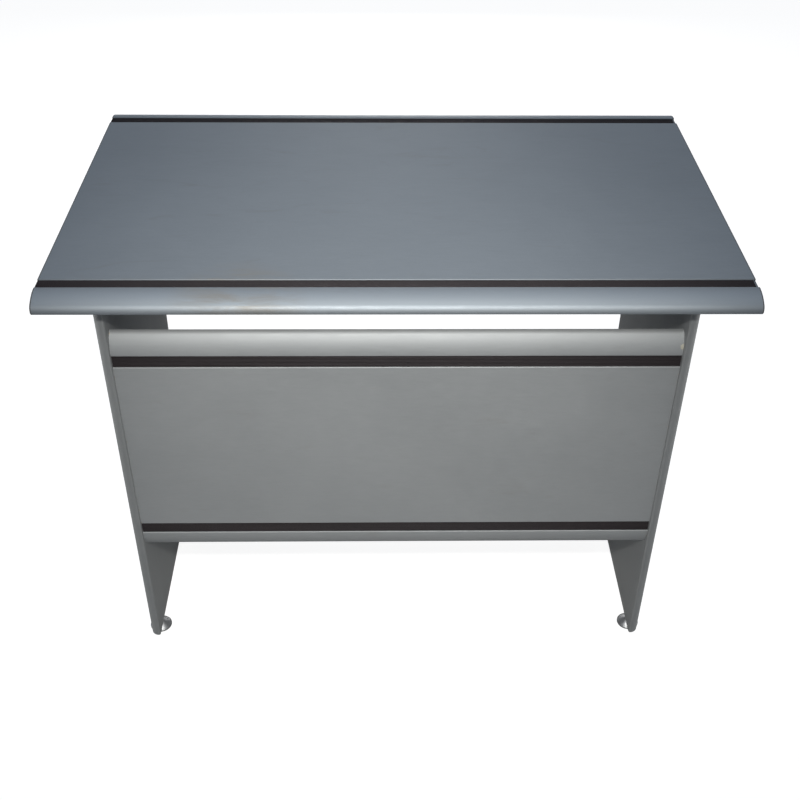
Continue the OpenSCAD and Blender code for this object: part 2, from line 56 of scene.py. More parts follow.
BODY = {node: body for body, nodes in frame["record"]["behaviour"]["bodies"].items() for node in nodes}


# ---- Measures that the frame doesn't state ----

NOSE_RUN = 34 * MM        # band over which a post-formed edge curves down
NOSE_DROP = 18 * MM       # drop of that curve from the face to its foremost line
NOSE_ANGLE = 35           # angle at which its gentle arc hands over to the tight one
GROOVE_DEPTH = 3 * MM
GROOVE_LIP = 1.3 * MM     # radius of the laminate where it turns into a groove
INLAY_PLAY = 0.1 * MM
REEDS = 8
TOP_STRIP_ENDS = (-0.8 * MM, 2.5 * MM)        # how far a strip stops short of its CAD ends, left and right
MODESTY_STRIP_ENDS = (-1.2 * MM, -1.2 * MM)   # negative where it runs on past them
END_ROUND = 0.8 * MM      # rounding of the top's end bands
BOARD_ROUND = 0.4 * MM    # broken edge of a plain board
SIDE_NOSE = 13 * MM       # radius of a side panel's front edge towards its outer face
GLIDE_RIM = (1.6 * MM, 2.2 * MM)    # width and height
GLIDE_EDGE = 0.8 * MM     # radius under the rim
GLIDE_SHOULDER = 0.5 * MM
GLIDE_RECESS = 0.4 * MM   # hollow under a glide
GLIDE_CROWN = 5.5 * MM    # radius of a glide's flat crown
GLIDE_DOME = 54 * MM      # radius of the arc from the crown down to the rim
THREAD_PITCH = 1.0 * MM
THREAD_DEPTH = 0.55 * MM
FRONT_ROUND = 1.0 * MM    # rounding of the drawer fronts' edge bands
RAIL_SHEET = 1.2 * MM
RAIL_BEND = 2.2 * MM      # outer radius of a rail's folds
RAIL_RACE = 2 * MM        # room for the balls between two nested rails
OUTER_FLANGE_GAP = 3 * MM       # from a flange's lip to the far side of the gap that holds the rails
MIDDLE_FLANGE_GAP = 1.3 * MM
CAGE_LENGTH = 110 * MM
CAGE_MARGIN = 8 * MM      # from a cage to the end of its rail
CAGE_STRIP = (2.0 * MM, 0.2 * MM)   # half the width and half the thickness
CAGE_BALLS = 8
HANDLE_BEND = 12 * MM
ROSETTE_RIM = 3.5 * MM    # how far a handle's rosette stands out round the bar
ROSETTE_HEIGHT = 2.6 * MM
SHARP = 40                # faces that meet at more than this angle show an edge

CAMERA_AT = Vector((-0.0238, -1.5988, 1.5646))
CAMERA_PITCH = 37.55      # degrees down
CAMERA_YAW = 1.191        # degrees to the right
CAMERA_ROLL = 0.597       # degrees
SENSOR = 36               # width in millimetres
LENS = 50.32              # focal length in millimetres
FLASH_RISE = 0.26         # height of the key light above the lens
FLASH_AIM = Vector((-0.02, 0, -0.08))   # the key light's aim, from a point on the lens's axis
FLASH_REACH = 1.6         # distance of that point
FLOOR_GREY = (0.38, 0.38, 0.38, 1)
FLOOR_GLOW = 0.85         # what the camera sees of the floor's own light, which lights nothing
WORLD_STRENGTH = 0.26
WARM = (1.0, 0.98, 0.95)


# ---- Measures from the frame ----

top_low, top_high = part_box("desktop")
top_thick, top_depth = top_high.z - top_low.z, top_high.y - top_low.y
top_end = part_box("desktop_right_end_band")[1].x
strip_low, strip_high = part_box("desktop_front_inlay")
inlay_width = strip_high.y - strip_low.y + 2 * INLAY_PLAY
inlay_inset = strip_low.y - INLAY_PLAY - top_low.y
inlay_height = strip_high.z - strip_low.z
modesty_low, modesty_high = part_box("modesty_panel")
panel_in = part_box("right_side_panel")[0].x

# A brownish mark on the top's front edge, a chip at the modesty panel's right end, and the band on
# each side of the top's middle line over which a painted sheen turns it paler
STAIN = (-0.44 * top_end, top_low.y + 8 * MM, top_low.z + 20 * MM)
STAIN_REACH = (100 * MM, 50 * MM)    # where it ends, and where it starts to fade
NICK = (panel_in, modesty_low.y + 1.5 * MM, modesty_high.z - 21 * MM)
NICK_REACH = (7 * MM, 2.5 * MM)
# painted sheen: a band along the top's curved long edges, painted paler than the laminate's own light
# colour
SHEEN_BAND = (top_depth / 2 - 32 * MM, top_depth / 2 - 9 * MM)
SHEEN_SHARE = 0.75         # how much of its own colour the edge gives up to the painted sheen
SHEEN_TINT = 1.3           # and the light colour's multiple that the painted sheen turns it to
CHIPPED_END = 5 * MM      # width of the strip at a board's end where it is chipped


# ---- Materials ----

# A dark and a light colour each
# the top's blue-grey is partly its own colour and partly a painted bluish cast of the light from above
BLUE_GREY_AND_SKY_CAST = (0.250, 0.278, 0.301), (0.299, 0.330, 0.356)
MID_GREY = (0.362, 0.379, 0.387), (0.424, 0.441, 0.449)
UNIT_GREY = (0.345, 0.360, 0.368), (0.405, 0.420, 0.428)
SIDE_GREY = (0.290, 0.302, 0.306), (0.345, 0.358, 0.362)
BAND_GREY = (0.095, 0.100, 0.105), (0.135, 0.140, 0.145)
PAPER_GREY = (0.105, 0.108, 0.110), (0.150, 0.152, 0.152)
BOX_GREY = (0.36, 0.365, 0.36), (0.43, 0.432, 0.425)
EXTRUDED_BLACK = (0.018, 0.015, 0.016), (0.030, 0.025, 0.028)
BEECH_BROWN = (0.46, 0.29, 0.15), (0.62, 0.43, 0.25)
HARDBOARD_BROWN = (0.12, 0.070, 0.040), (0.22, 0.135, 0.080)
CHROME_GREY = (0.36, 0.37, 0.38), (0.48, 0.49, 0.50)
NICKEL_GREY = (0.50, 0.49, 0.46), (0.62, 0.60, 0.57)
ZINC_GREY = (0.42, 0.42, 0.43), (0.58, 0.58, 0.58)
STEEL_GREY = (0.40, 0.41, 0.43), (0.54, 0.55, 0.56)

CORE_EDGE = (0.42, 0.38, 0.31)    # the laminate's brown core, along its chipped ends
CORE_FACE = (0.60, 0.58, 0.49)    # the board under it, where a piece has come off
GREASE = (0.45, 0.34, 0.24)
STAIN_COLOUR = (0.300, 0.288, 0.262)
DUST = (0.11, 0.10, 0.095)


class Graph:
    """A material and the few node patterns that all the finishes here are made of."""

    def __init__(self, name, **sockets):
        self.material = bpy.data.materials.new(name)
        self.material.use_nodes = True
        self.tree = self.material.node_tree
        self.shader = self.tree.nodes["Principled BSDF"]
        self.coords = self.tree.nodes.new("ShaderNodeTexCoord").outputs["Object"]
        for socket, value in sockets.items():
            self.shader.inputs[socket.replace("_", " ")].default_value = value

    def node(self, kind, inputs=(), **settings):
        made = self.tree.nodes.new("ShaderNode" + kind)
        for key, value in settings.items():
            setattr(made, key, value)
        for key, value in dict(inputs).items():
            if isinstance(value, bpy.types.NodeSocket):
                self.tree.links.new(value, made.inputs[key])
            else:
                made.inputs[key].default_value = value
        return made

    def noise(self, per_metre, detail, roughness=0.55, distortion=0.0):
        """Noise whose features are about 1 / per_metre long, along each axis."""
        scaled = self.node("Mapping", {"Vector": self.coords, "Scale": per_metre})
        inputs = {"Vector": scaled.outputs["Vector"], "Scale": 1.0, "Detail": detail,
                  "Roughness": roughness, "Distortion": distortion}
        return self.node("TexNoise", inputs).outputs["Fac"]

    def spread(self, value, low, high, to_low=0.0, to_high=1.0):
        """Maps value from low..high to to_low..to_high, held at both ends."""
        inputs = {"Value": value, "From Min": low, "From Max": high, "To Min": to_low, "To Max": to_high}
        return self.node("MapRange", inputs).outputs["Result"]

    def maths(self, operation, first, second=0.0):
        return self.node("Math", {0: first, 1: second}, operation=operation).outputs["Value"]

    def blend(self, parts):
        """Weighted sum of values, from a list of (value, weight)."""
        total = None
        for value, weight in parts:
            term = self.maths("MULTIPLY", value, weight)
            total = term if total is None else self.maths("ADD", total, term)
        return total

    def ramp(self, value, stops):
        made = self.node("ValToRGB", {"Fac": value})
        elements = made.color_ramp.elements
        while len(elements) < len(stops):
            elements.new(0.5)
        for element, (position, colour) in zip(elements, stops):
            element.position = position
            element.color = (*colour, 1)
        return made.outputs["Color"]

    def near(self, centre, far, close):
        """1 within close of a point, falling to 0 at far from it."""
        inputs = {0: self.coords, 1: centre}
        away = self.node("VectorMath", inputs, operation="DISTANCE").outputs["Value"]
        return self.spread(away, close, far, 1.0, 0.0)

    def mix(self, share, first, second):
        made = self.node("Mix", data_type="RGBA")
        sockets = (made.inputs["Factor"], made.inputs[6], made.inputs[7])
        for socket, value in zip(sockets, (share, first, second)):
            if isinstance(value, bpy.types.NodeSocket):
                self.tree.links.new(value, socket)
            else:
                socket.default_value = (*value, 1) if isinstance(value, tuple) else value
        return made.outputs[2]

    def bump(self, height, distance, strength):
        inputs = {"Height": height, "Distance": distance, "Strength": strength}
        return self.node("Bump", inputs).outputs["Normal"]

    def feed(self, **sockets):
        for socket, value in sockets.items():
            self.tree.links.new(value, self.shader.inputs[socket.replace("_", " ")])
        return self.material


def along(axis, long, cross):
    """Scale of a texture that is stretched along one axis."""
    return tuple(long if a == axis else cross for a in "XYZ")


def laminate(name, dark, light, axis="X", metallic=0.55, half_length=None,
             sheen_band=None, nick=None, stain=None):
    """Satin metallic-grey laminate with short pressed dashes along its grain.
    Where half_length is given, the laminate is chipped here and there at both ends of the board.
    Where a sheen band is given, as distances from the board's middle line, a painted sheen turns its long
    edges paler there.
    nick is a place where it has chipped off, and stain a place with brownish marks."""
    g = Graph(name, Metallic=metallic)
    dashes = g.noise(along(axis, 45, 330), detail=4.0, roughness=0.6)
    fine = g.noise(along(axis, 160, 1500), detail=2.0)
    fleck = g.noise((2600, 2600, 2600), detail=1.0)
    cloud = g.noise((4.5, 4.5, 4.5), detail=3.0, distortion=0.6)
    smear = g.noise(along(axis, 9, 26), detail=5.0, roughness=0.62, distortion=1.2)
    tone = g.blend([(dashes, 0.36), (fine, 0.18), (fleck, 0.16), (cloud, 0.30)])
    colour = g.ramp(tone, [(0.34, dark), (0.66, light)])
    greasy = g.spread(smear, 0.60, 0.78, 0.0, 0.5)
    colour = g.mix(greasy, colour, tuple(0.80 * a + 0.14 * b for a, b in zip(dark, GREASE)))
    # painted sheen: the long edges turn towards a colour paler than the laminate's own
    if sheen_band is not None:
        crosswise = g.node("SeparateXYZ", {"Vector": g.coords}).outputs["Y"]
        painted_sheen = g.spread(g.maths("ABSOLUTE", crosswise), *sheen_band, 0.0, SHEEN_SHARE)
        colour = g.mix(painted_sheen, colour, tuple(SHEEN_TINT * c for c in light))
    if half_length is not None:
        lengthwise = g.node("SeparateXYZ", {"Vector": g.coords}).outputs["X"]
        near_end = g.spread(g.maths("ABSOLUTE", lengthwise), half_length - CHIPPED_END, half_length)
        flaw = g.noise((210, 210, 210), detail=2.0)
        chip = g.spread(g.blend([(near_end, 0.30), (flaw, 1.0)]), 0.93, 0.96)
        colour = g.mix(chip, colour, CORE_EDGE)
    if stain is not None:
        rubbed = g.noise((13, 60, 60), detail=5.0, roughness=0.6, distortion=0.8)
        patchy = g.spread(rubbed, 0.38, 0.60, 0.0, 0.7)
        mark = g.maths("MULTIPLY", g.near(stain, *STAIN_REACH), patchy)
        colour = g.mix(mark, colour, STAIN_COLOUR)
    if nick is not None:
        broken = g.noise((500, 500, 500), detail=2.0)
        ragged = g.blend([(g.near(nick, *NICK_REACH), 0.7), (broken, 0.6)])
        colour = g.mix(g.spread(ragged, 0.62, 0.68), colour, CORE_FACE)
    matt = g.blend([(dashes, 0.5), (cloud, 0.2), (smear, 0.3)])
    relief = g.blend([(dashes, 0.7), (fine, 0.3)])
    return g.feed(Base_Color=colour, Roughness=g.spread(matt, 0.35, 0.65, 0.59, 0.69),
                  Normal=g.bump(relief, 0.05 * MM, 0.5))


def reeded_plastic(name, dark, light):
    """Black extruded plastic, a little dusty, with faint drawing marks along its length."""
    g = Graph(name, Specular_IOR_Level=0.16)
    drawn = g.noise(along("X", 6, 2400), detail=2.0)
    dust = g.noise((900, 900, 900), detail=4.0, roughness=0.7)
    patch = g.noise((14, 14, 14), detail=3.0)
    base = g.ramp(drawn, [(0.3, dark), (0.7, light)])
    dusty = g.maths("MULTIPLY", g.spread(dust, 0.55, 0.8), g.spread(patch, 0.4, 0.7, 0.05, 0.35))
    return g.feed(Base_Color=g.mix(dusty, base, DUST),
                  Roughness=g.spread(dust, 0.3, 0.7, 0.46, 0.60), Normal=g.bump(drawn, 0.03 * MM, 0.6))


def edge_band(name, dark, light, axis):
    """Plain plastic edging with a fine orange-peel texture and scraper marks along it."""
    g = Graph(name, Specular_IOR_Level=0.5)
    peel = g.noise((1400, 1400, 1400), detail=2.0)
    scraped = g.noise(along(axis, 12, 900), detail=3.0)
    cloud = g.noise((18, 18, 18), detail=2.0)
    tone = g.blend([(peel, 0.3), (scraped, 0.4), (cloud, 0.3)])
    return g.feed(Base_Color=g.ramp(tone, [(0.35, dark), (0.65, light)]),
                  Roughness=g.spread(scraped, 0.3, 0.7, 0.40, 0.56), Normal=g.bump(peel, 0.03 * MM, 0.5))


def bare_metal(name, dark, light, rough, axis=None, lines=1500, spots=0.0):
    """Plated or bare metal. axis is the direction that it is brushed or rolled in, and spots is how
    strongly darker spots show."""
    g = Graph(name, Metallic=1.0)
    brushed = g.noise(along(axis, 25, lines) if axis else (lines, lines, lines), detail=3.0)
    cloud = g.noise((70, 70, 70), detail=3.0, roughness=0.6)
    tone = g.blend([(brushed, 0.45), (cloud, 0.55)])
    colour = g.ramp(tone, [(0.35, dark), (0.65, light)])
    if spots:
        stain = g.spread(g.noise((420, 420, 420), detail=4.0, roughness=0.7), 0.58, 0.72, 0.0, spots)
        colour = g.mix(stain, colour, tuple(0.45 * c for c in dark))
    return g.feed(Base_Color=colour, Roughness=g.spread(tone, 0.3, 0.7, *rough),
                  Normal=g.bump(brushed, 0.01 * MM, 0.5))


def wood(name, dark, light, axis):
    """Turned or planed beech, with long pores along its grain."""
    g = Graph(name, Specular_IOR_Level=0.4)
    figure = g.noise(along(axis, 14, 260), detail=4.0, distortion=0.4)
    pores = g.noise(along(axis, 130, 2600), detail=2.0)
    tone = g.blend([(figure, 0.7), (pores, 0.3)])
    return g.feed(Base_Color=g.ramp(tone, [(0.32, dark), (0.68, light)]),
                  Roughness=g.spread(pores, 0.3, 0.7, 0.50, 0.68), Normal=g.bump(pores, 0.05 * MM, 0.6))


def fibreboard(name, dark, light, depth):
    """Pressed fibres: a felt of short flecks in all directions."""
    g = Graph(name, Specular_IOR_Level=0.35)
    felt = g.noise((520, 520, 520), detail=6.0, roughness=0.72, distortion=1.5)
    mesh = g.node("TexVoronoi", {"Vector": g.coords, "Scale": 700.0}).outputs["Distance"]
    cloud = g.noise((9, 9, 9), detail=3.0)
    tone = g.blend([(felt, 0.55), (mesh, 0.2), (cloud, 0.25)])
    return g.feed(Base_Color=g.ramp(tone, [(0.30, dark), (0.62, light)]),
                  Roughness=g.spread(felt, 0.3, 0.7, 0.62, 0.8), Normal=g.bump(felt, depth, 0.6))


def melamine(name, dark, light, axis):
    """Plain board paper with a faint print grain, for the drawer boxes."""
    g = Graph(name, Specular_IOR_Level=0.5)
    printed = g.noise(along(axis, 20, 420), detail=4.0)
    pearl = g.noise((1100, 1100, 1100), detail=2.0)
    cloud = g.noise((7, 7, 7), detail=2.0)
    tone = g.blend([(printed, 0.45), (pearl, 0.25), (cloud, 0.3)])
    return g.feed(Base_Color=g.ramp(tone, [(0.35, dark), (0.65, light)]),
                  Roughness=g.spread(pearl, 0.3, 0.7, 0.42, 0.55), Normal=g.bump(pearl, 0.02 * MM, 0.6))


# the top's laminate carries a painted bluish cast and a painted sheen on its curved edges; the drawer
# fronts share the painted cast
TOP = laminate("laminate_blue_grey_and_sky_cast", *BLUE_GREY_AND_SKY_CAST, metallic=0.7, half_length=top_end, sheen_band=SHEEN_BAND, stain=STAIN)
FRONT = laminate("laminate_drawer_fronts", *BLUE_GREY_AND_SKY_CAST, metallic=0.7)
GREY = laminate("laminate_mid_grey", *MID_GREY, half_length=panel_in, nick=NICK)
UNIT = laminate("laminate_unit_grey", *UNIT_GREY)
SIDE = laminate("laminate_side_grey", *SIDE_GREY, axis="Z")
BACKING = fibreboard("board_backing_paper", *PAPER_GREY, depth=0.03 * MM)
BAND_Y = edge_band("edge_band_grey", *BAND_GREY, "Y")
BAND_Z = edge_band("edge_band_upright", *BAND_GREY, "Z")
BLACK = reeded_plastic("reeded_black_plastic", *EXTRUDED_BLACK)
CHROME = bare_metal("chrome_plating", *CHROME_GREY, rough=(0.42, 0.52), lines=900, spots=0.4)
NICKEL = bare_metal("satin_nickel", *NICKEL_GREY, rough=(0.24, 0.36), axis="X", lines=2600)
ZINC = bare_metal("zinc_casting", *ZINC_GREY, rough=(0.30, 0.48), lines=700, spots=0.4)
STEEL = bare_metal("zinc_plated_strip", *STEEL_GREY, rough=(0.40, 0.54), axis="Y", spots=0.4)
BEECH = wood("beech", *BEECH_BROWN, "Z")
BOX_BOARD = melamine("drawer_board_paper", *BOX_GREY, "Y")
HARDBOARD = fibreboard("hardboard_underside", *HARDBOARD_BROWN, depth=0.12 * MM)


# ---- Mesh work ----

def arc(centre_u, centre_w, radius, start, end, steps):
    """Points on a circle. The angle is in degrees, from +w towards +u."""
    angles = [math.radians(start + (end - start) * i / steps) for i in range(steps + 1)]
    return [(centre_u + radius * math.sin(a), centre_w + radius * math.cos(a)) for a in angles]


def loft(loops):
    """Skins loops of equal length, and closes the first and last with a face each."""
    bm = bmesh.new()
    rings = [[bm.verts.new(p) for p in loop] for loop in loops]
    count = len(rings[0])
    for a, b in zip(rings, rings[1:]):
        for i in range(count):
            j = (i + 1) % count
            bm.faces.new((a[i], a[j], b[j], b[i]))
    bm.faces.new(reversed(rings[0]))
    bm.faces.new(rings[-1])
    bmesh.ops.recalc_face_normals(bm, faces=bm.faces)
    return bm


def lathe(profile, steps):
    """Turns (radius, height) points round Z. The profile starts and ends on the axis, or is closed."""
    bm = bmesh.new()
    closed = profile[0][0] > 0 and profile[-1][0] > 0
    rings = []
    for radius, height in profile:
        if radius <= 0:
            rings.append([bm.verts.new((0, 0, height))])
            continue
        turn = [2 * math.pi * k / steps for k in range(steps)]
        rings.append([bm.verts.new((radius * math.cos(a), radius * math.sin(a), height)) for a in turn])
    pairs = list(zip(rings, rings[1:])) + ([(rings[-1], rings[0])] if closed else [])
    for a, b in pairs:
        for k in range(steps):
            m = (k + 1) % steps
            corners = [a[k % len(a)], a[m % len(a)], b[m % len(b)], b[k % len(b)]]
            bm.faces.new(list(dict.fromkeys(corners)))
    bmesh.ops.recalc_face_normals(bm, faces=bm.faces)
    return bm


def sweep(path, normals, radius, sides):
    """A round bar along points that lie in one plane of constant z."""
    up = Vector((0, 0, 1))
    turn = [2 * math.pi * k / sides for k in range(sides)]
    loops = []
    for p, n in zip(path, normals):
        loops.append([p + radius * (math.cos(a) * n + math.sin(a) * up) for a in turn])
    return loft(loops)


def block(low, high, rounding, segments=3):
    """A board or bar between two corners, with its edges rounded."""
    bm = bmesh.new()
    bmesh.ops.create_cube(bm, size=1)
    size, middle = Vector(high) - Vector(low), (Vector(high) + Vector(low)) / 2
    for v in bm.verts:
        v.co = middle + Vector(c * s for c, s in zip(v.co, size))
    bmesh.ops.bevel(bm, geom=bm.edges[:], offset=rounding, segments=segments, profile=0.5, affect="EDGES")
    return bm


def join(*parts):
    """One mesh from several, as one piece with separate shells."""
    whole = bmesh.new()
    for part in parts:
        scratch = bpy.data.meshes.new("part")
        part.to_mesh(scratch)
        part.free()
        whole.from_mesh(scratch)
        bpy.data.meshes.remove(scratch)
    return whole


def moved(bm, matrix):
    bmesh.ops.transform(bm, matrix=matrix, verts=bm.verts)
    return bm


def facing(bm, direction, index, limit=0.9):
    """Gives the faces that look in a direction the material with that index."""
    bm.normal_update()
    for face in bm.faces:
        if face.normal.dot(Vector(direction)) > limit:
            face.material_index = index
    return bm


def place(name, bm, materials, slot, *nodes, body=None):
    """Makes a piece that stands for some CAD nodes and rides on their body."""
    mesh = bpy.data.meshes.new(name)
    bm.to_mesh(mesh)
    bm.free()
    mesh.polygons.foreach_set("use_smooth", [True] * len(mesh.polygons))
    mesh.set_sharp_from_angle(angle=math.radians(SHARP))
    for material in materials:
        mesh.materials.append(material)
    piece = bpy.data.objects.new(name, mesh)
    bpy.context.scene.collection.objects.link(piece)
    piece.modifiers.new("weighted_normals", "WEIGHTED_NORMAL").keep_sharp = True
    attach(piece, body or BODY[nodes[0]])
    if nodes:
        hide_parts(*nodes)
    return piece


def refinish(node, material, rounding=0.0):
    """Keeps a CAD node's shape, with a finish of its own and, if asked, broken edges."""
    part = frame["nodes"][node]
    for i in range(len(part.material_slots)):
        part.material_slots[i].material = material
    if rounding:
        part.modifiers.new("weld", "WELD").merge_threshold = 0.005 * MM
        broken = part.modifiers.new("broken_edges", "BEVEL")
        broken.width = rounding
        broken.segments = 2
        broken.limit_method = "ANGLE"
        broken.angle_limit = math.radians(SHARP)
        broken.harden_normals = True


# ---- Post-formed boards and their inlays ----

def postformed_outline(depth, thickness, inset=0.0):
    """Section of a board whose long edges are post-formed and grooved: u across the board and w up,
    with the face at w = 0. inset shrinks the section all round, to round off a board's end."""
    half = depth / 2
    sine, cosine = math.sin(math.radians(NOSE_ANGLE)), math.cos(math.radians(NOSE_ANGLE))
    share = sine * cosine - (1 - sine) * (1 - cosine)
    gentle = (NOSE_RUN * cosine - NOSE_DROP * (1 - sine)) / share
    tight = (NOSE_DROP * sine - NOSE_RUN * (1 - cosine)) / share
    groove_in = half - inlay_inset - inlay_width
    groove_out = half - inlay_inset
    low = thickness - NOSE_DROP
    floor = -GROOVE_DEPTH - inset
    side = arc(groove_in - GROOVE_LIP, -GROOVE_LIP, GROOVE_LIP - inset, 0, 90, 5)
    side += [(groove_in - inset, floor), (groove_out + inset, floor)]
    side += arc(groove_out + GROOVE_LIP, -GROOVE_LIP, GROOVE_LIP - inset, -90, 0, 5)
    side += arc(half - NOSE_RUN, -gentle, gentle - inset, 0, NOSE_ANGLE, 12)
    side += arc(half - tight, -NOSE_DROP, tight - inset, NOSE_ANGLE, 90, 14)[1:]
    if low > MM:
        side += arc(half - low, -NOSE_DROP, low - inset, 90, 180, 12)[1:]
    else:
        side += [(half - inset, -thickness + inset)]
    return side + [(-u, w) for u, w in reversed(side)]


def inlay_outline(width):
    """Section of an inlay strip: a flat base with half-round reeds, w = 0 at the groove's floor."""
    half = width / 2
    pitch = width / REEDS
    reed = pitch / 2 - 0.1 * MM
    points = [(half, 0), (-half, 0)]
    for i in range(REEDS):
        middle = -half + (i + 0.5) * pitch
        points += arc(middle, inlay_height - reed, reed, -90, 90, 8)
    return points


def across(points, x, at):
    """Stands a section in the plane at x. at turns its u and w into a point's y and z."""
    return [(x, *at(u, w)) for u, w in points]


def on_top(u, w):
    return u, top_high.z + w


def on_modesty(u, w):
    return modesty_low.y - w, (modesty_low.z + modesty_high.z) / 2 + u


def make_desktop():
    section = postformed_outline(top_depth, top_thick)
    board = loft([across(section, x, on_top) for x in (top_low.x, top_high.x)])
    facing(board, (0, 0, -1), 1)
    place("desktop_board", board, [TOP, BACKING], "laminate_top", "desktop")
    for name, s in SIDES.items():
        node = f"desktop_{name}_end_band"
        low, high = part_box(node)
        inner, outer = sorted((low.x, high.x), key=abs)
        loops = [across(section, inner, on_top)]
        for k in range(5):
            a = math.radians(90 * k / 4)
            x = outer - s * END_ROUND * (1 - math.sin(a))
            inset = END_ROUND * (1 - math.cos(a))
            loops.append(across(postformed_outline(top_depth, top_thick, inset), x, on_top))
        place(f"{node}_rounded", loft(loops), [BAND_Y], "edge_band", node)


def make_inlay(node, upright, ends):
    """A reeded strip in the top's face or, where it is upright, in the modesty panel's."""
    low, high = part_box(node)
    if upright:
        width, middle, floor = high.z - low.z, (low.z + high.z) / 2, high.y
    else:
        width, middle, floor = high.y - low.y, (low.y + high.y) / 2, low.z

    def at(u, w):
        return (floor - w, middle + u) if upright else (middle + u, floor + w)

    section = inlay_outline(width)
    start, end = ends
    loops = [across(section, x, at) for x in (low.x + start, high.x - end)]
    place(f"{node}_reeded", loft(loops), [BLACK], "inlay", node)


def make_modesty():
    depth = modesty_high.z - modesty_low.z
    thick = modesty_high.y - modesty_low.y
    section = postformed_outline(depth, thick)
    board = loft([across(section, x, on_modesty) for x in (modesty_low.x, modesty_high.x)])
    place("modesty_board", board, [GREY], "laminate_grey", "modesty_panel")


# ---- Side panels and glides ----

def make_side_panel(name, s):
    node = f"{name}_side_panel"
    low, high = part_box(node)
    inner = min((low.x, high.x), key=abs)
    thick = high.x - low.x
    tight = thick - SIDE_NOSE

    def plan(z, inset):
        outline = arc(tight, -tight, tight - inset, -90, 0, 8)
        outline += arc(tight, -SIDE_NOSE, SIDE_NOSE - inset, 0, 90, 20)[1:]
        outline += [(thick - inset, low.y - high.y), (inset, low.y - high.y)]
        return [(inner + s * u, low.y - w, z) for u, w in outline]

    part_way = 0.3 * BOARD_ROUND
    heights = [(low.z, BOARD_ROUND), (low.z + part_way, part_way), (low.z + BOARD_ROUND, 0), (high.z, 0)]
    board = loft([plan(z, inset) for z, inset in heights])
    facing(board, (0, 0, -1), 1)
    place(f"{node}_board", board, [SIDE, BAND_Y], "laminate_side", node)
    band = f"{name}_panel_rear_band"
    place(f"{band}_rounded", block(*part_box(band), BOARD_ROUND), [BAND_Z], "edge_band", band)


def glide_dome(radius, crown):
    """Points of the cap's dome, from its rim up to its flat crown."""
    rim_width, rim_height = GLIDE_RIM
    low, high = Vector((radius - rim_width, rim_height)), Vector((GLIDE_CROWN, crown))
    chord = high - low
    outward = Vector((chord.y, -chord.x)).normalized()
    centre = (low + high) / 2 - outward * math.sqrt(GLIDE_DOME ** 2 - chord.length_squared / 4)
    start, end = (math.degrees(math.asin((p.x - centre.x) / GLIDE_DOME)) for p in (low, high))
    return arc(centre.x, centre.y, GLIDE_DOME, start, end, 14)


def make_glide(end, name):
    node = f"{end}_{name}_glide_cap"
    low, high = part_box(node)
    stem_low, stem_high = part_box(f"{end}_{name}_glide_stem")
    radius, crown = (high.x - low.x) / 2, high.z
    rim_height = GLIDE_RIM[1]
    bore = (stem_high.x - stem_low.x) / 2 + 0.2 * MM
    ring = radius - 2.2 * MM
    profile = [(bore, GLIDE_RECESS), (ring - GLIDE_RECESS, GLIDE_RECESS), (ring, 0)]
    profile += arc(radius - GLIDE_EDGE, GLIDE_EDGE, GLIDE_EDGE, 180, 90, 5)
    profile += arc(radius - GLIDE_SHOULDER, rim_height - GLIDE_SHOULDER, GLIDE_SHOULDER, 90, 0, 5)
    profile += glide_dome(radius, crown)
    profile += [(bore + 0.6 * MM, crown - 0.05 * MM), (bore, crown - 0.5 * MM)]
    where = Matrix.Translation(((low.x + high.x) / 2, (low.y + high.y) / 2, 0))
    place(f"{node}_turned", moved(lathe(profile, 96), where), [CHROME], "chrome", node)


def thread(radius, pitch, depth, length, steps):
    """A threaded rod that stands on z = 0. Its thread is a helix of single V-shaped turns."""
    bm = bmesh.new()
    turns = int(length / pitch) - 1
    start = (length - turns * pitch) / 2

    def spot(k, r, z):
        a = 2 * math.pi * k / steps
        return bm.verts.new((r * math.cos(a), r * math.sin(a), z))

    root = radius - depth
    roots = [spot(k, root, start + pitch * (k / steps - 0.5)) for k in range((turns + 1) * steps + 1)]
    crests = [spot(k, radius, start + pitch * k / steps) for k in range(turns * steps + 1)]
    foot = [spot(k, root, 0) for k in range(steps)]
    head = [spot(k, root, length) for k in range(steps)]
    for k in range(turns * steps):
        bm.faces.new((roots[k], roots[k + 1], crests[k + 1], crests[k]))
        bm.faces.new((crests[k], crests[k + 1], roots[k + steps + 1], roots[k + steps]))
    last = turns * steps
    for k in range(steps):
        bm.faces.new((foot[k], foot[(k + 1) % steps], roots[k + 1], roots[k]))
        bm.faces.new((roots[last + k], roots[last + k + 1], head[(k + 1) % steps], head[k]))
    bm.faces.new((foot[0], roots[0], crests[0], roots[steps]))
    bm.faces.new((roots[last], crests[last], roots[last + steps], head[0]))
    bm.faces.new(foot)
    bm.faces.new(head)
    bmesh.ops.recalc_face_normals(bm, faces=bm.faces)
    return bm


def make_stem(end, name):
    node = f"{end}_{name}_glide_stem"
    low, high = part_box(node)
    where = Matrix.Translation(((low.x + high.x) / 2, (low.y + high.y) / 2, low.z))
    rod = thread((high.x - low.x) / 2, THREAD_PITCH, THREAD_DEPTH, high.z - low.z, 24)
    place(f"{node}_threaded", moved(rod, where), [ZINC], "zinc", node)


# ---- Drawers ----

def rail_outline(web, reach, half_height, sheet, bend):
    """Section of a rolled channel, as (x, z) points from one flange's lip to the other's."""
    way = 1 if reach > web else -1

    def corner(height, radius, start, end):
        return [(web + way * (bend - u), height + w) for u, w in arc(0, 0, radius, start, end, 6)]

    top, bottom = half_height - bend, -half_height + bend
    outer = [(reach, half_height)] + corner(top, bend, 0, 90)
    outer += corner(bottom, bend, 90, 180) + [(reach, -half_height)]
    inner = [(reach, -half_height + sheet)] + corner(bottom, bend - sheet, 180, 90)
    inner += corner(top, bend - sheet, 90, 0) + [(reach, half_height - sheet)]
    return outer + inner


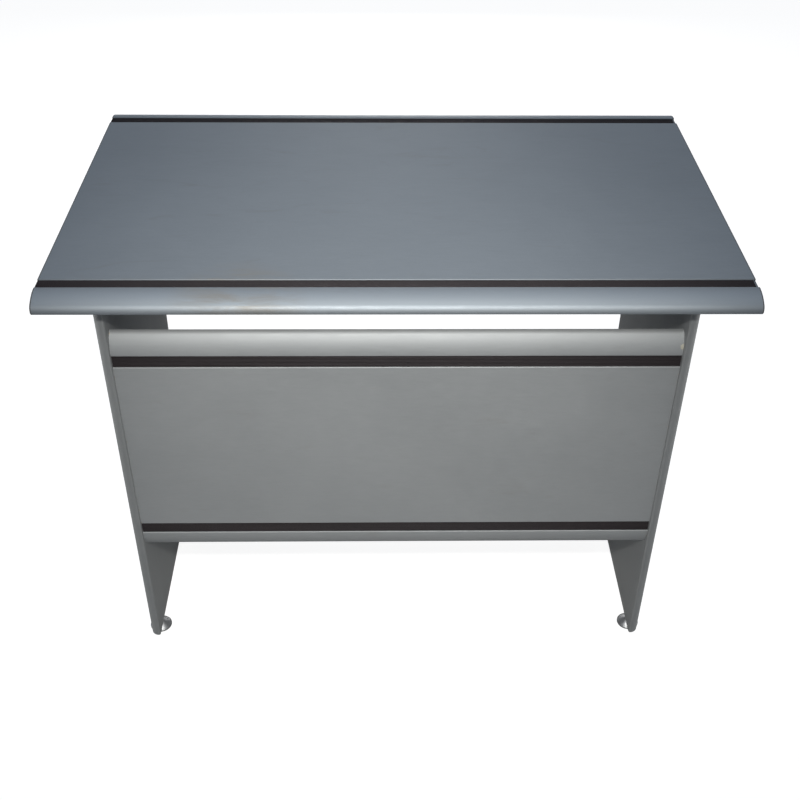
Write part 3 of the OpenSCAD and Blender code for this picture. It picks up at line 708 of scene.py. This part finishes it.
def make_rails(name, s):
    """Three nested rolled channels on both sides of a drawer, with a ball cage in each race."""
    outer_low, outer_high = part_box(f"{name}_outer_rails")
    middle_low, middle_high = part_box(f"{name}_middle_rails")
    near_wall, far_wall = sorted((outer_low.x, outer_high.x), key=abs)
    side_low, side_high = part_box(f"{name}_drawer_{'right' if s < 0 else 'left'}_side")
    width = abs(near_wall - (side_high.x if s < 0 else side_low.x))
    half = (outer_high.z - outer_low.z) / 2
    mid_z = (outer_high.z + outer_low.z) / 2
    under_outer = half - RAIL_SHEET
    under_middle = under_outer - RAIL_RACE - RAIL_SHEET
    members = {
        "outer": (0, width - OUTER_FLANGE_GAP, half, outer_low.y, outer_high.y),
        "middle": (RAIL_RACE, width - MIDDLE_FLANGE_GAP, under_outer - RAIL_RACE,
                   middle_low.y, middle_high.y),
        "inner": (width, 2 * RAIL_RACE, under_middle - RAIL_RACE, outer_low.y, outer_high.y),
    }
    walls = [(near_wall, s), (far_wall, -s)]
    for member, (web, reach, half_height, start, end) in members.items():
        section = rail_outline(web, reach, half_height, RAIL_SHEET, RAIL_BEND)
        bars = []
        for wall, way in walls:
            loops = [[(wall + way * x, y, mid_z + z) for x, z in section] for y in (start, end)]
            bars.append(loft(loops))
        place(f"{name}_{member}_rails_rolled", join(*bars), [STEEL], "rail_steel", f"{name}_{member}_rails")
    races = [(0.5 * width, under_outer - RAIL_RACE / 2, middle_low.y + CAGE_MARGIN),
             (0.6 * width, under_middle - RAIL_RACE / 2, middle_high.y - CAGE_MARGIN - CAGE_LENGTH)]
    cages = []
    for wall, way in walls:
        for out, up, start in races:
            for z in (mid_z - up, mid_z + up):
                cages.append(ball_cage(Vector((wall + way * out, start, z))))
    place(f"{name}_rail_ball_cages", join(*cages), [ZINC, CHROME], "rail_steel",
          body=BODY[f"{name}_middle_rails"])


def ball_cage(start):
    """A flat strip along Y from start, with a row of balls through it."""
    ball = 0.95 * RAIL_RACE / 2
    flat = Vector((CAGE_STRIP[0], 0, CAGE_STRIP[1]))
    strip = block(start - flat, start + flat + Vector((0, CAGE_LENGTH, 0)), 0.15 * MM, 2)
    pitch = CAGE_LENGTH / CAGE_BALLS
    for k in range(CAGE_BALLS):
        at = Matrix.Translation(start + Vector((0, (k + 0.5) * pitch, 0)))
        made = bmesh.ops.create_icosphere(strip, subdivisions=2, radius=ball, matrix=at)
        for face in {face for v in made["verts"] for face in v.link_faces}:
            face.material_index = 1
    return strip


def make_drawer(name):
    front = f"{name}_drawer_front"
    low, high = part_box(front)
    board = block(low, high, FRONT_ROUND, 4)
    for direction in ((1, 0, 0), (-1, 0, 0), (0, 0, 1), (0, 0, -1)):
        facing(board, direction, 1, 0.5)
    place(f"{front}_panel", board, [FRONT, BAND_Y], "laminate_top", front)
    for part in ("left_side", "right_side", "back"):
        node = f"{name}_drawer_{part}"
        place(f"{node}_board", block(*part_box(node), 1.2 * MM, 4), [BOX_BOARD], "drawer_board", node)
    node = f"{name}_drawer_bottom"
    sheet = facing(block(*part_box(node), 0.3 * MM), (0, 0, -1), 1)
    place(f"{node}_sheet", sheet, [BOX_BOARD, HARDBOARD], "drawer_board", node)


def make_handle(name):
    """A bow handle: a round bar bent at both ends, on two small rosettes."""
    node = f"{name}_handle"
    low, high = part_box(node)
    radius = (high.z - low.z) / 2
    middle = (low.x + high.x) / 2
    foot = (high.x - low.x) / 2 - radius
    reach, face, height = high.y - radius, low.y, (low.z + high.z) / 2
    straight = reach - HANDLE_BEND - face
    path = [(foot, face + straight * k / 3, 90) for k in range(3)]
    turned = arc(foot - HANDLE_BEND, reach - HANDLE_BEND, HANDLE_BEND, 90, 0, 12)
    path += [(x, y, 90 + 90 * k / 12) for k, (x, y) in enumerate(turned)]
    path = [(x, y, a) for x, y, a in path] + [(-x, y, 360 - a) for x, y, a in reversed(path)]
    points = [Vector((middle + x, y, height)) for x, y, _ in path]
    normals = [Vector((math.sin(math.radians(a)), -math.cos(math.radians(a)), 0)) for _, _, a in path]
    bar = sweep(points, normals, radius, 32)
    rim = radius + ROSETTE_RIM
    rosette = [(0, 0), (rim, 0)] + arc(rim - 0.6 * MM, 1.0 * MM, 0.6 * MM, 90, 0, 5)
    rosette += [(radius + 1.2 * MM, 1.75 * MM), (radius + 0.2 * MM, ROSETTE_HEIGHT), (0, ROSETTE_HEIGHT)]
    feet = []
    for x in (-foot, foot):
        onto = Matrix.Translation((middle + x, face, height)) @ Matrix.Rotation(math.radians(-90), 4, "X")
        feet.append(moved(lathe(rosette, 48), onto))
    place(f"{name}_bow_handle", join(bar, *feet), [NICKEL], "satin_nickel", node)


# ---- Parts that keep their CAD shape ----

def refinish_parts():
    for part in ("left_side", "right_side", "divider", "back", "top_board"):
        refinish(f"unit_{part}", UNIT, BOARD_ROUND)
    for node in ("cam_housings", "cam_bolts", "glide_inserts"):
        refinish(node, ZINC, 0.2 * MM)
    refinish("dowels", BEECH)
    for node in ("unit_hanging_screws", "unit_frame_screws", "lock_strikes"):
        refinish(node, ZINC, 0.3 * MM)
    for name in SIDES:
        refinish(f"{name}_handle_screws", ZINC, 0.4 * MM)
        for part in ("housing", "plug"):
            refinish(f"{name}_lock_{part}", NICKEL, 0.3 * MM)
        refinish(f"{name}_lock_cam", ZINC, 0.3 * MM)


# ---- Stage, light and camera ----

def make_floor():
    """A grey floor that looks nearly white to the camera."""
    bm = bmesh.new()
    bmesh.ops.create_grid(bm, x_segments=1, y_segments=1, size=40)
    mesh = bpy.data.meshes.new("floor")
    bm.to_mesh(mesh)
    bm.free()
    floor = bpy.data.objects.new("floor", mesh)
    g = Graph("pale_floor", Specular_IOR_Level=0.2, Base_Color=FLOOR_GREY, Roughness=0.7,
              Emission_Color=(1, 1, 1, 1))
    seen = g.node("LightPath").outputs["Is Camera Ray"]
    mesh.materials.append(g.feed(Emission_Strength=g.maths("MULTIPLY", seen, FLOOR_GLOW)))
    bpy.context.scene.collection.objects.link(floor)


def make_light(name, kind, where, target, power, colour, **settings):
    light = bpy.data.lights.new(name, kind)
    light.energy = power
    light.color = colour
    for key, value in settings.items():
        setattr(light, key, value)
    lamp = bpy.data.objects.new(name, light)
    lamp.location = where
    lamp.rotation_euler = (Vector(target) - Vector(where)).to_track_quat("-Z", "Y").to_euler()
    bpy.context.scene.collection.objects.link(lamp)


def make_camera():
    """A lens of about 50 mm held above the visitor's side, looking down at the desk."""
    pitch, yaw, roll = (math.radians(a) for a in (CAMERA_PITCH, CAMERA_YAW, CAMERA_ROLL))
    ahead = Vector((math.sin(yaw) * math.cos(pitch), math.cos(yaw) * math.cos(pitch), -math.sin(pitch)))
    right = Vector((math.cos(yaw), -math.sin(yaw), 0))
    up = right.cross(ahead)
    rolled_right = math.cos(roll) * right + math.sin(roll) * up
    rolled_up = math.cos(roll) * up - math.sin(roll) * right
    data = bpy.data.cameras.new("camera")
    data.sensor_width = SENSOR
    data.lens = LENS
    camera = bpy.data.objects.new("camera", data)
    turned = Matrix((rolled_right, rolled_up, -ahead)).transposed().to_4x4()
    camera.matrix_world = Matrix.Translation(CAMERA_AT) @ turned
    bpy.context.scene.collection.objects.link(camera)
    bpy.context.scene.camera = camera


def make_world():
    """Soft light, a little bluer from above, in front of a white backdrop."""
    world = bpy.data.worlds.new("studio")
    world.use_nodes = True
    tree = world.node_tree
    soft = tree.nodes["Background"]
    soft.inputs["Strength"].default_value = WORLD_STRENGTH
    direction = tree.nodes.new("ShaderNodeSeparateXYZ")
    tree.links.new(tree.nodes.new("ShaderNodeTexCoord").outputs["Generated"], direction.inputs["Vector"])
    sky = tree.nodes.new("ShaderNodeValToRGB")
    sky.color_ramp.elements[0].color = (0.96, 0.97, 1.0, 1)
    sky.color_ramp.elements[1].color = (0.86, 0.95, 1.08, 1)
    tree.links.new(direction.outputs["Z"], sky.inputs["Fac"])
    tree.links.new(sky.outputs["Color"], soft.inputs["Color"])
    backdrop = tree.nodes.new("ShaderNodeBackground")
    backdrop.inputs["Color"].default_value = (1, 1, 1, 1)
    seen = tree.nodes.new("ShaderNodeMixShader")
    tree.links.new(tree.nodes.new("ShaderNodeLightPath").outputs["Is Camera Ray"], seen.inputs["Fac"])
    tree.links.new(soft.outputs["Background"], seen.inputs[1])
    tree.links.new(backdrop.outputs["Background"], seen.inputs[2])
    tree.links.new(seen.outputs["Shader"], tree.nodes["World Output"].inputs["Surface"])
    bpy.context.scene.world = world


def make_studio():
    """A key light just above the lens, a bluish panel overhead, and fills at the rear and the sides."""
    make_floor()
    make_world()
    bpy.context.scene.view_settings.view_transform = "Standard"
    ahead = bpy.context.scene.camera.matrix_world.to_3x3() @ Vector((0, 0, -1))
    aim = CAMERA_AT + FLASH_REACH * ahead + FLASH_AIM
    make_light("key", "SPOT", CAMERA_AT + Vector((0, 0, FLASH_RISE)), aim, 146, (1.0, 0.98, 0.94),
               spot_size=math.radians(43), spot_blend=1.0, shadow_soft_size=0.05)
    make_light("overhead", "AREA", (0, 0.9, 3.0), (0, 0.3, 0.7), 16, (0.86, 0.95, 1.1),
               shape="RECTANGLE", size=3.2, size_y=2.0)
    make_light("rear_fill", "AREA", (0, 3.0, 0.9), (0, 0.3, 0.6), 20, WARM,
               shape="RECTANGLE", size=0.9, size_y=0.8)
    for name, s in SIDES.items():
        make_light(f"{name}_fill", "AREA", (2.6 * s, 0, 0.40), (0, 0, 0.40), 16, WARM,
                   shape="RECTANGLE", size=0.8, size_y=0.6)


make_desktop()
make_modesty()
for strip in ("desktop_front_inlay", "desktop_rear_inlay"):
    make_inlay(strip, False, TOP_STRIP_ENDS)
for strip in ("modesty_upper_inlay", "modesty_lower_inlay"):
    make_inlay(strip, True, MODESTY_STRIP_ENDS)
for side, sign in SIDES.items():
    make_side_panel(side, sign)
    make_rails(side, sign)
    make_drawer(side)
    make_handle(side)
    for end in ("front", "rear"):
        make_glide(end, side)
        make_stem(end, side)
refinish_parts()
make_camera()
make_studio()
